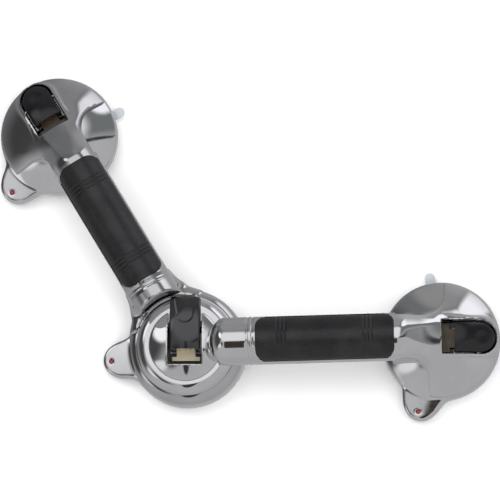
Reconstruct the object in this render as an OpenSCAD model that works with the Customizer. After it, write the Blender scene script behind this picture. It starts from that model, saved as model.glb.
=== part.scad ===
// Suction grab bar: two swivelling tube arms on a hub, with three lever-operated
// suction units. Origin: on the hub's suction axis in the wall plane. +Z leaves the wall.

/* [Layout] */
// Distance from the hub axis to each end unit's axis
pitch = 222; // [218:1:226]
// Direction of the left arm, anticlockwise from +X
left_angle = 121.4; // [110:0.1:130]
// Direction of the right arm, anticlockwise from +X
right_angle = 1.5; // [-5:0.1:5]
// Direction of the hub lever's free end, anticlockwise from +X
hub_lever_angle = 90; // [85:1:95]

/* [Arm] */
// Radius of the round grip tube
tube_r = 20.8; // [20.6:0.1:21]
// Height of the tube's axis above the wall
tube_z = 55; // [54.5:0.1:55.5]
// Thickness of the chromed shells
shell_t = 2.6; // [2.4:0.1:2.8]
// Start of the grip pad, from the hub axis
grip_start = 63; // [62.5:0.5:63.5]
// Length of the grip pad
grip_len = 120; // [112:1:120]
// Width of the grip pad, seen from the front
grip_w = 38.4; // [36:0.2:38.8]
// Corner radius of the grip pad
grip_corner = 9; // [6:0.5:12]
// Number of ring grooves at each end of the grip pad
groove_count = 3; // [1:1:4]

/* [Suction unit] */
// Outer radius of the base housing
base_r = 51.5; // [51.2:0.1:51.8]
// Radius of the rubber cup
cup_r = 49.5; // [49:0.1:50]
// Distance from an end unit's axis to its ear's tip
ear_reach = 72.5; // [71:0.5:74]
// Distance from the hub axis to its ear's tip
hub_ear_reach = 75.5; // [73:0.5:76]
// Radius of the ears' rounded tips
ear_tip_r = 16.3; // [16:0.1:16.6]
// Angle from an end unit's outward direction to its ear
ear_angle = 109.5; // [106:0.5:112]
// Angle from an end unit's outward direction to its release tab
tab_angle = 98.5; // [96:0.5:101]
// Angle from the hub lever's direction to the hub's ear
hub_ear_angle = 99.6; // [96:0.1:103]

/* [Lever] */
// Width of every lever
lever_w = 25.8; // [25.4:0.1:26]
// Width of the slots that the levers lie in
slot_w = 30.6; // [30.2:0.1:31]
// Distance from an end unit's axis to its lever's free end
end_lever_reach = 47.5; // [47:0.1:47.6]
// Distance from the hub axis to its lever's free end
hub_lever_reach = 43.8; // [41:0.1:44]

/* [Hub] */
// Outer radius of the lower swivel disc
lower_disc_r = 51; // [50.5:0.1:51]
// Outer radius of the upper swivel ring
upper_ring_r = 43.4; // [43:0.1:43.6]
// Radius of the hub cap
cap_r = 32; // [31.6:0.1:32.2]

/* [Hidden] */
$fn = 96;
tiny = 0.02;
gap = 0.3;
running = 0.05;
tall = 120;

// Radius of the sphere through a rim of radius r and an apex that much higher
function dome_sphere(r, rise) = (r * r + rise * rise) / (2 * rise);

// Housing
rim_z = 3;
rim_wall = 5.5;
rim_round = 4;
housing_top = 18;
housing_apex = 34;
housing_inner_r = base_r - rim_wall;
housing_sphere = dome_sphere(49, housing_apex - housing_top);
ear_z = 4;
ear_top = 15.5;
ear_fillet_r = 9;
indicator_inset = 7.5;
indicator_r = 2.6;
spring_seat_r = 3.8;
spring_seat_z = 5;
screw_r = 1.7;

// Lever, cam and stem
pin_z = 36.5;
pin_r = 2.5;
end_pin_x = 17;
cam_r = 7.2;
cam_offset = 1.5;
cheek_in = 8.9;
cheek_out = 12.6;
lever_back = 5.5;
lug_in = 4.6;
lug_out = 8.2;
lug_r = 4;
plate_z = 29.5;
plate_t = 2.5;
plate_w = 24.4;
stem_r = 4;
stem_foot_z = 14;
pocket_z = 26.3;
cam_plate_t = 1.2;

// Head over an end unit
head_r = 50.5;
head_rim_z = 18.4;
head_wall_z = 22;
head_apex = 47;
head_sphere = dome_sphere(head_r, head_apex - head_wall_z);
head_centre_z = head_apex - head_sphere;
neck_fillet_r = 24;
neck_fillet_x = -23.5;
neck_x = -38;
slot_start_x = 1.5;
slot_end_x = 49;
slot_floor_z = 20.8;
saddle_r = 38;
saddle_x = 1;
head_boss_top = 34;
base_screw_z = 13;
base_screw_tip = 30;

// Tube and its core
back_start = 64;
back_end = 180;
nose_x = 42.5;
neck_nose_x = 62;
tube_wall = 3.4;
boss_top = 17.8;
core_r = 14;
core_start = 80;
core_end = 164;
grip_t = 1.8;
groove_first = 19;
groove_pitch = 3.5;
arm_screw_x = [73, 171];

// Hub stack
post_r = 24;
post_wall = 3;
deck_z = 17.5;
washer_t = 0.8;
disc_z = deck_z + washer_t;
disc_top = 31.5;
disc_round = 10.5;
ring_z = disc_top + washer_t;
ring_top = 42.4;
ring_round = 9.4;
cap_z = 43.3;
cap_wall_z = 44.8;
cap_apex = 52.5;
cap_sphere = dome_sphere(cap_r, cap_apex - cap_wall_z);
cap_slot_start = -17.7;
swivel_gap = 1.2;
cap_gap = 0.6;
hub_lever_top = 51;
hub_lever_curve = 75;
hub_recess_end = 37.5;
hub_slope_z = 45.8;
// Angle of the hub's release tab, which lies in the gap behind the right tube
hub_tab_angle = hub_ear_angle - 186;

// ---------- placement ----------

module in_left_arm() rotate(left_angle) children();
module in_right_arm() rotate(right_angle) children();
module in_left_unit() in_left_arm() translate([pitch, 0, 0]) children();
module in_right_unit() in_right_arm() translate([pitch, 0, 0]) children();
module in_hub_unit() rotate(hub_lever_angle) children();
module along_x(x, z) translate([x, 0, z]) rotate([0, 90, 0]) children();
module across_y(x, z) translate([x, 0, z]) rotate([90, 0, 0]) children();
module both_sides(y) for (side = [-1, 1]) translate([0, side * y, 0]) children();

// ---------- shared shapes ----------

// A bar between two x and two z, centred in y
module bar(x0, x1, w, z0, z1)
  translate([x0, -w / 2, z0]) cube([x1 - x0, w, z1 - z0]);

// Half section of a dome: a sphere through the apex, cut to radius r above z0
module dome_section(r, sphere_r, apex, z0)
  intersection() {
    translate([0, apex - sphere_r]) circle(sphere_r);
    translate([0, z0]) square([r, apex - z0 + 1]);
  }

// Half section of a disc with a rounded upper rim
module rounded_section(r, round_r, z0, top) {
  translate([0, z0]) square([r - round_r, top - z0]);
  translate([0, z0]) square([r, top - round_r - z0]);
  intersection() {
    translate([r - round_r, top - round_r]) circle(round_r);
    translate([0, top - round_r - tiny]) square([r + 1, round_r + 1]);
  }
}

// ---------- suction unit: local +X is the direction of the lever's free end ----------

module cup(tab_deg)
  color("gainsboro") difference() {
    union() {
      rotate_extrude() difference() {
        union() {
          square([cup_r, rim_z]);
          square([32, 5.5]);
          square([18, 12]);
        }
        translate([0, -118]) circle(121);
        translate([-tiny, 5.7]) square([14.3, 3.6]);
        translate([-tiny, 9]) square([6.3, 5]);
      }
      rotate(tab_deg) {
        bar(cup_r - 3, cup_r + 8, 8.4, 0.8, rim_z - 0.2);
        translate([cup_r + 8, 0, 0.8]) cylinder(r = 4.2, h = rim_z - 1);
      }
    }
  }

module cup_core()
  color("silver") {
    translate([0, 0, 6]) cylinder(r = 14, h = 3);
    translate([0, 0, 9 - tiny]) cylinder(r = 6, h = stem_foot_z - 9 + tiny);
  }

// Stem, its draw plate and the two lugs that carry the lever pin
module stem(pin_x)
  color("wheat") difference() {
    union() {
      translate([0, 0, stem_foot_z]) cylinder(r = stem_r, h = plate_z - stem_foot_z + tiny);
      bar(-13, pin_x + lug_r, 2 * lug_out, plate_z, plate_z + plate_t);
      bar(-13, pin_x - 9.5, plate_w, plate_z, plate_z + plate_t);
      both_sides((lug_in + lug_out) / 2) {
        bar(pin_x - lug_r, pin_x + lug_r, lug_out - lug_in, plate_z, pin_z);
        across_y(pin_x, pin_z) cylinder(r = lug_r, h = lug_out - lug_in, center = true);
      }
    }
    across_y(pin_x, pin_z) cylinder(r = pin_r, h = tall, center = true);
  }

module lever_pin(pin_x)
  color("lightgray") across_y(pin_x, pin_z)
    cylinder(r = pin_r, h = 2 * cheek_out - 0.4, center = true);

// Steel plate that the two cams bear on
module cam_plate(pin_x)
  color("lightgray") difference() {
    bar(pin_x - 6, pin_x + 12, 28, pocket_z, pocket_z + cam_plate_t);
    bar(pin_x - 7, pin_x + 8, 2 * cheek_in - 0.6, pocket_z - 1, pocket_z + 3);
  }

// The two cheeks of a lever, each with its eccentric cam
module lever_cheeks(pin_x, top_z)
  both_sides((cheek_in + cheek_out) / 2) {
    across_y(pin_x + cam_offset, pin_z - cam_offset)
      cylinder(r = cam_r, h = cheek_out - cheek_in, center = true);
    bar(pin_x - lever_back, pin_x + 9, cheek_out - cheek_in, pin_z, top_z);
  }

// Room in a lever for its pin, the stem's lugs and the draw plate
module lever_hollow(pin_x) {
  across_y(pin_x, pin_z) cylinder(r = pin_r + running, h = tall, center = true);
  across_y(pin_x, pin_z) cylinder(r = lug_r + 0.6, h = 2 * cheek_in, center = true);
  bar(pin_x - 9, pin_x, 2 * cheek_in, pin_z - 12, pin_z + lug_r + 0.6);
  bar(pin_x - 9, pin_x - 4.2, 2 * cheek_in, pin_z - 12, pin_z + 30);
}

module end_lever()
  color("#222222") difference() {
    union() {
      intersection() {
        across_y(0, head_centre_z) difference() {
          cylinder(r = head_sphere + 0.6, h = lever_w, center = true);
          cylinder(r = head_sphere - 4.8, h = lever_w + 1, center = true);
        }
        linear_extrude(tall) {
          translate([end_pin_x - lever_back, -lever_w / 2])
            square([end_lever_reach - end_pin_x + lever_back - lever_w / 2, lever_w]);
          translate([end_lever_reach - lever_w / 2, 0]) circle(lever_w / 2);
        }
        bar(0, 60, 60, slot_floor_z + 0.4, tall);
      }
      intersection() {
        lever_cheeks(end_pin_x, 50);
        across_y(0, head_centre_z) cylinder(r = head_sphere - 2, h = 60, center = true);
      }
    }
    lever_hollow(end_pin_x);
    // thumb recess
    translate([37, 0, 36.2]) rotate([0, 37, 0]) cylinder(r = 8, h = 10);
  }

// Plan of the shallow thumb recess, which widens towards the free end
module hub_recess_plan() {
  translate([26, 0]) circle(7.6);
  polygon([[26, -7.6], [hub_recess_end, -10], [hub_recess_end, 10], [26, 7.6]]);
}

module hub_lever()
  color("#222222") difference() {
    union() {
      difference() {
        intersection() {
          across_y(10, hub_lever_top - hub_lever_curve) difference() {
            cylinder(r = hub_lever_curve, h = lever_w, center = true);
            cylinder(r = hub_lever_curve - 5, h = lever_w + 1, center = true);
          }
          translate([-lever_back, -lever_w / 2, 0])
            cube([lever_back + hub_lever_reach, lever_w, tall]);
          cylinder(r = hub_lever_reach, h = tall);
        }
        // room over the swivel ring
        rotate_extrude()
          rounded_section(upper_ring_r + 1, ring_round + 1, 20, cap_z + 0.4);
        // the free end slopes down outside the recess
        translate([hub_recess_end, 0, hub_slope_z]) rotate([0, 45, 0])
          bar(-10, 20, 60, 0, 20);
      }
      intersection() {
        lever_cheeks(0, hub_lever_top);
        across_y(10, hub_lever_top - hub_lever_curve)
          cylinder(r = hub_lever_curve - 2, h = 60, center = true);
      }
    }
    lever_hollow(0);
    intersection() {
      across_y(10, hub_lever_top - hub_lever_curve) difference() {
        cylinder(r = hub_lever_curve + 5, h = 60, center = true);
        cylinder(r = hub_lever_curve - 1, h = 61, center = true);
      }
      linear_extrude(tall) hub_recess_plan();
    }
  }

// ---------- housing ----------

module ear_outline(reach) {
  centre = reach - ear_tip_r;
  difference() {
    union() {
      translate([centre, 0]) circle(ear_tip_r);
      polygon([[30, -25], [46, -25], [centre, -ear_tip_r], [centre, ear_tip_r],
               [46, 25], [30, 25]]);
    }
    both_sides(ear_tip_r + ear_fillet_r) translate([centre - 1, 0]) circle(ear_fillet_r);
    circle(housing_inner_r);
  }
}

module at_indicator(ear_deg, reach)
  rotate(ear_deg) translate([reach - indicator_inset, 0, 0]) children();

// Rim wall with the ear, the notch for the release tab and the indicator's bore
module housing_rim(ear_deg, reach, tab_deg, top)
  difference() {
    union() {
      rotate_extrude() difference() {
        rounded_section(base_r, rim_round, rim_z, top);
        translate([-1, 0]) square([housing_inner_r + 1, tall]);
      }
      translate([0, 0, ear_z]) linear_extrude(ear_top - ear_z)
        rotate(ear_deg) ear_outline(reach);
    }
    rotate(tab_deg) bar(base_r - 5, base_r + 5, 10, 0, 7);
    at_indicator(ear_deg, reach) {
      translate([0, 0, spring_seat_z]) cylinder(r = spring_seat_r, h = 8);
      cylinder(r = indicator_r + 0.08, h = tall);
    }
  }

module indicator(ear_deg, reach)
  color("crimson") at_indicator(ear_deg, reach) {
    translate([0, 0, 9.5]) cylinder(r = indicator_r, h = 7);
    translate([0, 0, 9.5]) cylinder(r = 3.5, h = 1.5);
  }

// The coil's envelope, between the ear's floor clip and the indicator
module indicator_spring(ear_deg, reach)
  color("silver") at_indicator(ear_deg, reach) translate([0, 0, spring_seat_z]) {
    difference() {
      cylinder(r = 3, h = 4.5);
      translate([0, 0, 0.6]) cylinder(r = 2.2, h = 5);
    }
  }

module screw(head_z, length)
  translate([0, 0, head_z]) {
    cylinder(r = 3.2, h = 2);
    cylinder(r = screw_r, h = length);
  }

// ---------- end housing ----------

module at_base_screws() {
  both_sides(34) translate([20, 0, 0]) children();
  both_sides(11) translate([-31, 0, 0]) children();
}

module end_base(side)
  color("silver") difference() {
    union() {
      housing_rim(side * ear_angle, ear_reach, -side * tab_angle, housing_top);
      rotate_extrude() difference() {
        dome_section(housing_inner_r + 1, housing_sphere, housing_apex, 12);
        dome_section(60, housing_sphere - shell_t, housing_apex - shell_t, 0);
      }
      intersection() {
        bar(-18, 34, 34, 23, tall);
        rotate_extrude() dome_section(46, housing_sphere - 1, housing_apex - 1, 6);
      }
      translate([0, 0, 15]) cylinder(r = 8, h = 9);
      intersection() {
        at_base_screws() translate([0, 0, 15]) cylinder(r = 5, h = 20);
        rotate_extrude() dome_section(46, housing_sphere - 1, housing_apex - 1, 6);
      }
    }
    bar(-15, end_pin_x + 14, 28.4, pocket_z, tall);
    bar(-15, end_pin_x + 7.5, 2 * lug_out + 0.4, pocket_z - 0.6, tall);
    cylinder(r = stem_r + 0.06, h = tall);
    at_base_screws() cylinder(r = 1.8, h = tall);
  }

// ---------- head of an arm's front shell, over an end unit ----------

module head_outline(inset)
  difference() {
    union() {
      circle(head_r - inset);
      translate([neck_x, inset - tube_r]) square([-neck_x, 2 * (tube_r - inset)]);
    }
    for (side = [0, 1]) mirror([0, side]) {
      translate([neck_fillet_x, tube_r + neck_fillet_r]) circle(neck_fillet_r + inset);
      translate([-60, tube_r + neck_fillet_r])
        square([60 + neck_fillet_x + neck_fillet_r + inset, 40]);
      translate([-60, tube_r - inset])
        square([60 + neck_fillet_x, neck_fillet_r + inset]);
    }
  }

module head_solid(inset)
  intersection() {
    linear_extrude(tall) head_outline(inset);
    union() {
      rotate_extrude() {
        dome_section(head_r, head_sphere - inset, head_apex - inset, head_wall_z - 1);
        square([head_r, head_wall_z - inset]);
      }
      difference() {
        intersection() {
          along_x(neck_x, tube_z) cylinder(r = tube_r - inset, h = saddle_x - neck_x);
          linear_extrude(tall) {
            translate([neck_x, -tube_r]) square([saddle_x - tube_r - neck_x, 2 * tube_r]);
            translate([saddle_x - tube_r, 0]) circle(tube_r - inset);
          }
        }
        across_y(saddle_x, head_apex + saddle_r)
          cylinder(r = saddle_r + inset, h = 60, center = true);
        bar(-9, saddle_x + 1, 60, 0, 38);
      }
      bar(neck_x, -8, 2 * tube_r, 0, 45);
    }
  }

module head_slot()
  translate([0, 0, slot_floor_z]) linear_extrude(tall) {
    translate([slot_start_x, -slot_w / 2])
      square([slot_end_x - slot_w / 2 - slot_start_x, slot_w]);
    translate([slot_end_x - slot_w / 2, 0]) circle(slot_w / 2);
  }

module head()
  difference() {
    union() {
      difference() {
        head_solid(0);
        head_solid(shell_t);
      }
      intersection() {
        head_solid(shell_t - tiny);
        union() {
          at_base_screws() cylinder(r = 5, h = head_boss_top);
          bar(-34, -28, 2 * tube_r, 0, head_boss_top);
        }
      }
    }
    at_base_screws() cylinder(r = screw_r, h = base_screw_tip);
    rotate_extrude() {
      dome_section(60, housing_sphere + gap, housing_apex + gap, 0);
      square([70, head_rim_z]);
    }
    head_slot();
  }

// ---------- arms: local +X runs from the hub axis to the end unit ----------

// Round bar with a rounded end towards the hub
module nosed_tube(x_nose, x_end, r)
  along_x(x_nose, tube_z) rotate_extrude() {
    square([r, x_end - x_nose]);
    intersection() {
      circle(r);
      translate([0, -r]) square([r, r + tiny]);
    }
  }

module grip_outline(grow)
  translate([grip_start - grow, 0]) {
    length = grip_len + 2 * grow;
    half = grip_w / 2 + grow;
    corner = grip_corner + grow;
    translate([corner, -half]) square([length - 2 * corner, 2 * half]);
    translate([0, corner - half]) square([length, 2 * (half - corner)]);
    both_sides(half - corner)
      for (x = [corner, length - corner]) translate([x, 0]) circle(corner);
  }

module grip()
  color("#1a1a1a") difference() {
    intersection() {
      along_x(0, tube_z) cylinder(r = tube_r + 0.1, h = pitch);
      translate([0, 0, tube_z]) linear_extrude(40) grip_outline(0);
    }
    along_x(0, tube_z) cylinder(r = tube_r + 0.1 - grip_t, h = pitch);
    for (i = [0 : groove_count - 1], far = [0, 1]) {
      offset_x = groove_first + i * groove_pitch;
      x = far == 0 ? grip_start + offset_x : grip_start + grip_len - offset_x;
      along_x(x, tube_z) rotate_extrude() translate([tube_r + 0.4, 0]) circle(0.9);
    }
  }

// Half rings that hold the core tube
module core_ribs()
  for (x = [core_start + 4, (core_start + core_end) / 2, core_end - 4])
    along_x(x - 1, tube_z) difference() {
      cylinder(r = tube_r - 1, h = 2);
      translate([0, 0, -1]) cylinder(r = core_r + running, h = 4);
    }

module shell_hollow(x0)
  along_x(x0, tube_z) cylinder(r = tube_r - tube_wall, h = pitch + neck_x + 0.5 - x0);

// Grip tube of the front shell, complete round the ends and open behind the grip
module front_tube(hollow_x)
  difference() {
    union() {
      difference() {
        along_x(back_start - 2, tube_z)
          cylinder(r = tube_r, h = pitch + neck_x + tiny - back_start + 2);
        shell_hollow(hollow_x);
      }
      core_ribs();
      for (x = arm_screw_x) translate([x, 0, tube_z]) cylinder(r = 4, h = boss_top);
    }
    bar(back_start, back_end, 60, 0, tube_z);
    for (x = arm_screw_x) translate([x, 0, 0]) cylinder(r = screw_r, h = tube_z + 10);
    difference() {
      translate([0, 0, tube_z]) linear_extrude(40) grip_outline(0.1);
      along_x(0, tube_z) cylinder(r = tube_r - grip_t, h = pitch);
    }
  }

module arm_back()
  color("silver") difference() {
    union() {
      difference() {
        along_x(back_start + 0.1, tube_z)
          cylinder(r = tube_r, h = back_end - back_start - 0.2);
        along_x(0, tube_z) cylinder(r = tube_r - tube_wall, h = pitch);
      }
      core_ribs();
      for (x = arm_screw_x) translate([x, 0, 36.2]) cylinder(r = 4.5, h = tube_z - 36.2);
    }
    bar(0, pitch, 60, tube_z - 0.1, tall);
    for (x = arm_screw_x) translate([x, 0, 0]) {
      cylinder(r = 1.8, h = tall);
      cylinder(r = 3.4, h = 40);
    }
  }

module arm_core()
  color("lightgray") along_x(core_start, tube_z) difference() {
    cylinder(r = core_r, h = core_end - core_start);
    translate([0, 0, -1]) cylinder(r = core_r - 1.5, h = core_end);
  }

module arm_screws()
  color("gray") for (x = arm_screw_x) translate([x, 0, 0]) screw(38, 24);

// Section of the swivel disc or ring round the post
module swivel_section(r, round_r, z0, top)
  difference() {
    rounded_section(r, round_r, z0, top);
    translate([-1, 0]) square([post_r + running + 1, tall]);
    intersection() {
      rounded_section(r - shell_t, round_r - shell_t, z0 - 1, top - shell_t);
      translate([35, 0]) square([r, tall]);
    }
  }

module left_arm_front()
  color("silver") {
    translate([pitch, 0, 0]) head();
    front_tube(neck_nose_x);
    difference() {
      union() {
        rotate_extrude() swivel_section(lower_disc_r, disc_round, disc_z, disc_top);
        nosed_tube(neck_nose_x, neck_nose_x + tiny, tube_r);
        difference() {
          bar(40, neck_nose_x, 35, 26, 48);
          across_y(neck_nose_x + 4, 22) cylinder(r = 15, h = 60, center = true);
          both_sides(27) translate([54, 0, 0]) cylinder(r = 10, h = tall);
        }
      }
      translate([0, 0, disc_top + tiny]) cylinder(r = upper_ring_r + swivel_gap, h = tall);
    }
  }

module right_arm_front()
  color("silver") {
    translate([pitch, 0, 0]) head();
    front_tube(back_start - 3);
    difference() {
      union() {
        rotate_extrude() swivel_section(upper_ring_r, ring_round, ring_z, ring_top);
        nosed_tube(nose_x, back_start - 2 + tiny, tube_r);
      }
      cylinder(r = post_r + running, h = cap_z + cap_gap);
      translate([0, 0, ring_top]) rotate_extrude() {
        square([cap_r + cap_gap, cap_wall_z - ring_top + cap_gap]);
        translate([0, -ring_top])
          dome_section(cap_r + cap_gap, cap_sphere + cap_gap, cap_apex + cap_gap, cap_wall_z);
      }
    }
  }

module base_screws()
  color("gray") at_base_screws() screw(base_screw_z, base_screw_tip - base_screw_z);

// ---------- hub ----------

module at_hub_screws()
  for (i = [0 : 3]) rotate(45 + 90 * i) translate([16, 0, 0]) children();

module hub_base()
  color("silver") difference() {
    union() {
      housing_rim(hub_ear_angle, hub_ear_reach, hub_tab_angle, deck_z);
      translate([0, 0, deck_z - 3]) cylinder(r = housing_inner_r + 0.5, h = 3);
    }
    cylinder(r = 9, h = tall);
    at_hub_screws() cylinder(r = 1.8, h = tall);
  }

// Post that both arms turn on, with the stem's guide and the cam plate's seat
module hub_post()
  color("lightgray") difference() {
    translate([0, 0, deck_z]) cylinder(r = post_r, h = cap_z - deck_z);
    intersection() {
      translate([0, 0, pocket_z]) cylinder(r = post_r - post_wall, h = tall);
      bar(-30, 30, 60, pocket_z, tall);
    }
    intersection() {
      bar(-15, 7.5, 2 * lug_out + 0.4, pocket_z - 0.6, tall);
      cylinder(r = post_r - post_wall, h = tall);
    }
    cylinder(r = stem_r + 0.06, h = tall);
    at_hub_screws() cylinder(r = screw_r, h = 24);
  }

module hub_cap()
  color("silver") difference() {
    union() {
      rotate_extrude() {
        dome_section(cap_r, cap_sphere, cap_apex, cap_wall_z - 1);
        translate([0, cap_z]) square([cap_r, cap_wall_z - cap_z]);
      }
      translate([0, 0, cap_z - 5]) cylinder(r = post_r - post_wall - 0.04, h = 6);
    }
    translate([0, 0, cap_z - 6]) cylinder(r = 18.5, h = 12);
    bar(cap_slot_start, 60, slot_w, 0, tall);
  }

module washer(r_in, r_out, z, t)
  color("dimgray") translate([0, 0, z]) difference() {
    cylinder(r = r_out, h = t);
    translate([0, 0, -1]) cylinder(r = r_in, h = t + 2);
  }

module hub_screws() color("gray") at_hub_screws() screw(12.5, 11);

// ---------- nodes ----------

in_hub_unit() hub_base();
in_hub_unit() hub_post();
in_hub_unit() hub_cap();
washer(25, 34, deck_z, washer_t - tiny);  // lower_friction_washer
washer(25, 34, disc_top + tiny, washer_t - 2 * tiny);  // upper_friction_washer
washer(25, 31, ring_top + tiny, cap_z - ring_top - tiny);  // cap_spring_washer
in_hub_unit() hub_screws();
in_hub_unit() cup(hub_tab_angle);  // hub_cup
in_hub_unit() cup_core();  // hub_cup_core
in_hub_unit() stem(0);  // hub_stem
in_hub_unit() cam_plate(0);  // hub_cam_plate
in_hub_unit() hub_lever();
in_hub_unit() lever_pin(0);  // hub_lever_pin
in_hub_unit() indicator(hub_ear_angle, hub_ear_reach);  // hub_indicator
in_hub_unit() indicator_spring(hub_ear_angle, hub_ear_reach);  // hub_indicator_spring

in_left_arm() left_arm_front();
in_left_arm() arm_back();  // left_arm_back
in_left_arm() arm_core();  // left_arm_core
in_left_arm() grip();  // left_grip
in_left_arm() arm_screws();  // left_arm_screws
in_left_unit() end_base(1);  // left_base
in_left_unit() base_screws();  // left_base_screws
in_left_unit() cup(-tab_angle);  // left_cup
in_left_unit() cup_core();  // left_cup_core
in_left_unit() stem(end_pin_x);  // left_stem
in_left_unit() cam_plate(end_pin_x);  // left_cam_plate
in_left_unit() end_lever();  // left_lever
in_left_unit() lever_pin(end_pin_x);  // left_lever_pin
in_left_unit() indicator(ear_angle, ear_reach);  // left_indicator
in_left_unit() indicator_spring(ear_angle, ear_reach);  // left_indicator_spring

in_right_arm() right_arm_front();
in_right_arm() arm_back();  // right_arm_back
in_right_arm() arm_core();  // right_arm_core
in_right_arm() grip();  // right_grip
in_right_arm() arm_screws();  // right_arm_screws
in_right_unit() end_base(-1);  // right_base
in_right_unit() base_screws();  // right_base_screws
in_right_unit() cup(tab_angle);  // right_cup
in_right_unit() cup_core();  // right_cup_core
in_right_unit() stem(end_pin_x);  // right_stem
in_right_unit() cam_plate(end_pin_x);  // right_cam_plate
in_right_unit() end_lever();  // right_lever
in_right_unit() lever_pin(end_pin_x);  // right_lever_pin
in_right_unit() indicator(-ear_angle, ear_reach);  // right_indicator
in_right_unit() indicator_spring(-ear_angle, ear_reach);  // right_indicator_spring
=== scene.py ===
import math

import bpy
import numpy as np
from mathutils import Matrix, Vector


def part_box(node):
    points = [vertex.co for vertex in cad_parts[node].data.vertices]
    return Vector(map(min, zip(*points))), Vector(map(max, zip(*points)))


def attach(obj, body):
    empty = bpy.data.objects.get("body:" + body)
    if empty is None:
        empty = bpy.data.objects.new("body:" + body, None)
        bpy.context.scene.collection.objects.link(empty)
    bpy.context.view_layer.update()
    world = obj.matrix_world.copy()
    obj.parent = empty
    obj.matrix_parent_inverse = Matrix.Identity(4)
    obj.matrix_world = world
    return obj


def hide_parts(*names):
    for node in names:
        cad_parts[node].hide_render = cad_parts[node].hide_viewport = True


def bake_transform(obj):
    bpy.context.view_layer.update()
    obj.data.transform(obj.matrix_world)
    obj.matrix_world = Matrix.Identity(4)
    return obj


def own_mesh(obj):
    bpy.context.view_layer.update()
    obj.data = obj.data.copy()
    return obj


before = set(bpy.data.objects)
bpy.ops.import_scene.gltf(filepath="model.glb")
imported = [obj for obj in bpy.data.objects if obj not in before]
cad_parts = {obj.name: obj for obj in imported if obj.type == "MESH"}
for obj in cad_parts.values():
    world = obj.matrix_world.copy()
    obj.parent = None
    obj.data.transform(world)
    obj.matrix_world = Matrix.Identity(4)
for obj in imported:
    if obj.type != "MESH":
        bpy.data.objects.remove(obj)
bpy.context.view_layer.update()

# A suction grab bar. Each finer piece is the zero surface of a distance field, written in mm in a
# local frame, which contour() turns into a mesh. Heights z are above the wall. In an arm's frame
# x runs along the arm from the hub's axis; in a unit's frame x runs outwards from its suction axis.

# ---------------------------------------------------------------- local frames


def centre(node):
    """Middle of a CAD node's box, in mm."""
    low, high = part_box(node)
    return (np.array(low) + np.array(high)) * 500.0


def turned(angle, origin=(0.0, 0.0)):
    """Matrix from a local frame turned by angle about +Z, with its origin there."""
    c, s = math.cos(angle), math.sin(angle)
    return np.array([[c, -s, 0, origin[0]], [s, c, 0, origin[1]], [0, 0, 1, 0]])


LEFT = centre("left_cup_core")[:2]
RIGHT = centre("right_cup_core")[:2]
LEFT_ANGLE = math.atan2(LEFT[1], LEFT[0])
RIGHT_ANGLE = math.atan2(RIGHT[1], RIGHT[0])
LEFT_ARM = turned(LEFT_ANGLE)
RIGHT_ARM = turned(RIGHT_ANGLE)
LEFT_UNIT = turned(LEFT_ANGLE, LEFT)
RIGHT_UNIT = turned(RIGHT_ANGLE, RIGHT)
HUB_UNIT = turned(math.pi / 2)

# ---------------------------------------------------------------- sizes in mm

# arms
PITCH = float(np.hypot(*RIGHT))  # from the hub's axis to a suction axis
ARM_END = PITCH - 38             # where the plain tube ends under the head
TUBE_R = 20.8
TUBE_Z = centre("left_arm_core")[2]
GRIP_X0, GRIP_X1 = 63.0, 183.0
BACK_X0, BACK_X1 = 64.0, 180.0
RIBS_X = (84.0, 122.0, 160.0)
SCREWS_X = (73.0, 171.0)
CORE_HOLE_R = 14.05

# heads: a paraboloid crown with a slot for the lever
HEAD_R = 50.5
HEAD_APEX = 47.0
HEAD_FALL = 25.0
SLOT_X0 = 1.5
SLOT_TIP = 49.0
SLOT_HALF = 14.9

# housings: a rim, a spherical dome on the end units, and an ear with an indicator
BASE_R = 51.5
BASE_SPHERE = 83.03
BASE_CENTRE = 34 - BASE_SPHERE
INDICATOR_INSET = 7.5            # from the ear's tip to the indicator's axis

# hub
HUB_BORE_R = 24.06               # bore in both arms for the hub's post
CAP_SPHERE = 70.3
CAP_SEAT = 70.9                  # sphere of the cap's seat in the right arm
CAP_CENTRE = 52.5 - CAP_SPHERE

# levers
PIN_Z = 36.5
END_PIN = 17.0                   # x of the pin of an end lever; the hub lever's is at 0
LEVER_HALF = 13.5

PAINTED_SHADE_DEPTH = 1.6                # painted shade darkens a slot's walls from this depth on

# ---------------------------------------------------------------- distance fields


def smin(a, b, k):
    """Union whose seam is rounded over a width of k."""
    h = np.maximum(k - np.abs(a - b), 0) / k
    return np.minimum(a, b) - h * h * k / 4


def smax(a, b, k):
    """Intersection whose edge is rounded over a width of k."""
    return -smin(-a, -b, k)


def overlap(*fields):
    """Sharp intersection."""
    return np.maximum.reduce(fields)


def corner_field(u, v, radius):
    """Quarter plane u < radius, v < radius with its corner rounded."""
    return np.hypot(np.maximum(u, 0), np.maximum(v, 0)) + np.minimum(np.maximum(u, v), 0) - radius


def rounded_top(r, z, radius, top, corner):
    """Disc of that radius whose upper rim is rounded; r and z are the profile's."""
    return corner_field(r - (radius - corner), z - (top - corner), corner)


def rounded_rectangle(x, y, x0, x1, half, corner):
    u = np.abs(x - (x0 + x1) / 2) - ((x1 - x0) / 2 - corner)
    return corner_field(u, np.abs(y) - (half - corner), corner)


def bite(x, y, x_end, y_near, corner):
    """Plan of the room beside the neck: x < x_end and y > y_near, with its inner corner rounded."""
    return corner_field(x - (x_end - corner), y_near + corner - y, corner)


def ball(x, y, z, radius, height):
    return np.sqrt(x * x + y * y + (z - height) ** 2) - radius


def box_field(x, y, z, low, high):
    return overlap(low[0] - x, x - high[0], low[1] - y, y - high[1], low[2] - z, z - high[2])


def stadium(x, y, x_tip, half):
    """A slot that is endless towards -x and has a round end at x_tip."""
    return np.hypot(np.maximum(x - (x_tip - half), 0), y) - half


def along_across(x, y, angle):
    """Coordinates along a direction in the plan and across it."""
    c, s = math.cos(angle), math.sin(angle)
    return x * c + y * s, -x * s + y * c


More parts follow.
